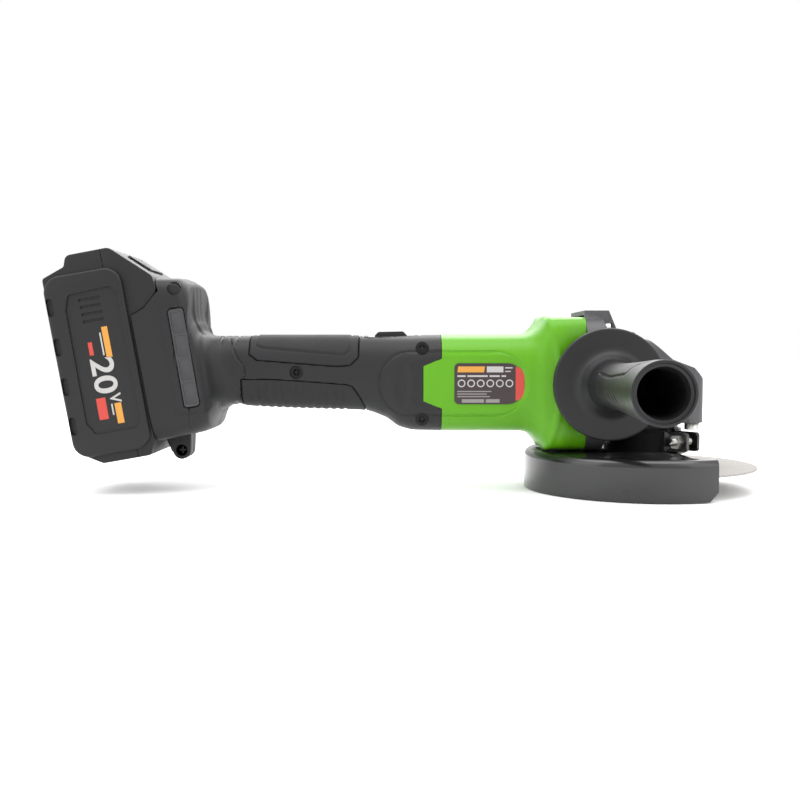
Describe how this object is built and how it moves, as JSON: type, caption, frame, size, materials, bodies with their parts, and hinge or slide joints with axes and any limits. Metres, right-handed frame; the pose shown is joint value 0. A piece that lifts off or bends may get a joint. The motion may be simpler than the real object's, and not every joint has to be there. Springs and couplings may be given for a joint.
{
  "type": "cordless angle grinder",
  "caption": "Cordless angle grinder with slide switch, bevel gear head, swivelling disc guard, screw-in side handle and slide-off battery pack.",
  "frame": {"origin": "on the spindle's axis, at the face of the inner flange that the disc seats on", "axes": "+X along the motor shaft from the battery towards the gear head, +Z along the spindle away from the disc, side handle along -Y"},
  "size_m": [0.3921, 0.2208, 0.1326],
  "materials": {
    "charcoal_plastic": "fine moulded texture",
    "green_plastic": "satin moulded",
    "grip_rubber": "soft matte",
    "battery_plastic": "fine moulded texture",
    "battery_panel": "fine moulded texture with print",
    "handle_plastic": "satin moulded",
    "cast_aluminium": "dark satin die cast",
    "guard_steel": "gloss black powder coat",
    "disc_abrasive": "fine grit",
    "plated_steel": "zinc plated",
    "black_steel": "black oxide",
    "gear_steel": "ground",
    "bearing_steel": "polished",
    "copper_winding": "enamelled copper",
    "lamination_steel": "stacked sheet",
    "magnet_black": "sintered",
    "fan_plastic": "moulded",
    "circuit_board": "solder mask",
    "cell_wrap": "shrink sleeve",
    "brass": "stamped",
    "filter_mesh": "moulded"
  },
  "bodies": {
    "tool_body": {"air_filter_cover_far": "filter_mesh", "air_filter_cover_near": "filter_mesh", "bearing_cover": "cast_aluminium", "bearing_retainer": "plated_steel", "controller_board": "circuit_board", "controller_parts": "magnet_black", "cover_screws": "plated_steel", "fan_baffle": "fan_plastic", "gear_housing": "cast_aluminium", "gearbox_screws": "plated_steel", "grip_pad_lower": "grip_rubber", "grip_pad_upper": "grip_rubber", "grip_shell_far": "charcoal_plastic", "grip_shell_near": "charcoal_plastic", "housing_screws": "black_steel", "lower_bearing": "bearing_steel", "microswitch": "fan_plastic", "motor_end_plate": "fan_plastic", "motor_housing": "green_plastic", "motor_stator": "lamination_steel", "name_plate_far": "battery_panel", "name_plate_near": "battery_panel", "pinion_bearing": "bearing_steel", "rear_bearing": "bearing_steel", "spindle_lock_spring": "plated_steel", "stator_coils": "copper_winding", "terminal_blades": "brass", "upper_bearing": "bearing_steel"},
    "spindle": {"cutting_disc": "disc_abrasive", "inner_flange": "plated_steel", "lock_nut": "black_steel", "spindle": "gear_steel", "spindle_spacer": "gear_steel", "crown_gear": "gear_steel"},
    "rotor": {"pinion_gear": "gear_steel", "rotor_shaft": "gear_steel", "rotor_core": "lamination_steel", "rotor_magnets": "magnet_black", "cooling_fan": "fan_plastic"},
    "guard": {"guard_shell": "guard_steel", "guard_skirt": "guard_steel", "guard_clamp_screw": "plated_steel", "guard_clamp_nut": "plated_steel"},
    "side_handle": {"side_handle_grip": "handle_plastic", "side_handle_insert": "plated_steel", "side_handle_stud": "plated_steel"},
    "spindle_lock": {"spindle_lock_button": "charcoal_plastic", "spindle_lock_pin": "plated_steel"},
    "power_switch": {"switch_slider": "charcoal_plastic", "switch_link": "fan_plastic"},
    "battery": {"battery_case": "battery_plastic", "battery_cover": "battery_plastic", "battery_cells": "cell_wrap", "cell_strips": "plated_steel", "battery_contacts": "brass", "battery_side_near": "battery_panel", "battery_side_far": "battery_panel", "release_springs": "plated_steel"},
    "battery_release": {"battery_release_button": "battery_plastic", "battery_latch": "battery_plastic"}
  },
  "joints": [
    {"name": "spindle_spin", "type": "hinge", "parent": "tool_body", "child": "spindle", "pos_m": [0, 0, 0], "axis": [0, 0, 1], "continuous": true},
    {"name": "rotor_spin", "type": "hinge", "parent": "tool_body", "child": "rotor", "pos_m": [0, 0, 0.0465], "axis": [1, 0, 0], "continuous": true},
    {"name": "guard_swivel", "type": "hinge", "parent": "tool_body", "child": "guard", "pos_m": [0, 0, 0], "axis": [0, 0, 1], "range_deg": [-60, 90]},
    {"name": "side_handle_turn", "type": "hinge", "parent": "tool_body", "child": "side_handle", "pos_m": [-0.0271, -0.0383, 0.0465], "axis": [0, 1, 0], "continuous": true},
    {"name": "spindle_lock_press", "type": "slide", "parent": "tool_body", "child": "spindle_lock", "axis": [0, 0, -1], "range_m": [0, 0.004], "stiffness_N_per_m": 600, "springref_m": -0.002, "deforming": ["spindle_lock_spring"]},
    {"name": "switch_slide", "type": "slide", "parent": "tool_body", "child": "power_switch", "axis": [1, 0, 0], "range_m": [0, 0.006], "stiffness_N_per_m": 300, "springref_m": -0.002},
    {"name": "battery_slide", "type": "slide", "parent": "tool_body", "child": "battery", "axis": [-0.1736, 0, 0.9848], "range_m": [0, 0.08]},
    {"name": "battery_release_press", "type": "slide", "parent": "battery", "child": "battery_release", "axis": [-0.5392, 0, -0.8422], "range_m": [0, 0.003], "stiffness_N_per_m": 900, "springref_m": -0.002, "deforming": ["release_springs"]}
  ],
  "couplings": [
    {"joint": "rotor_spin", "follows": "spindle_spin", "ratio": -3.3636}
  ]
}
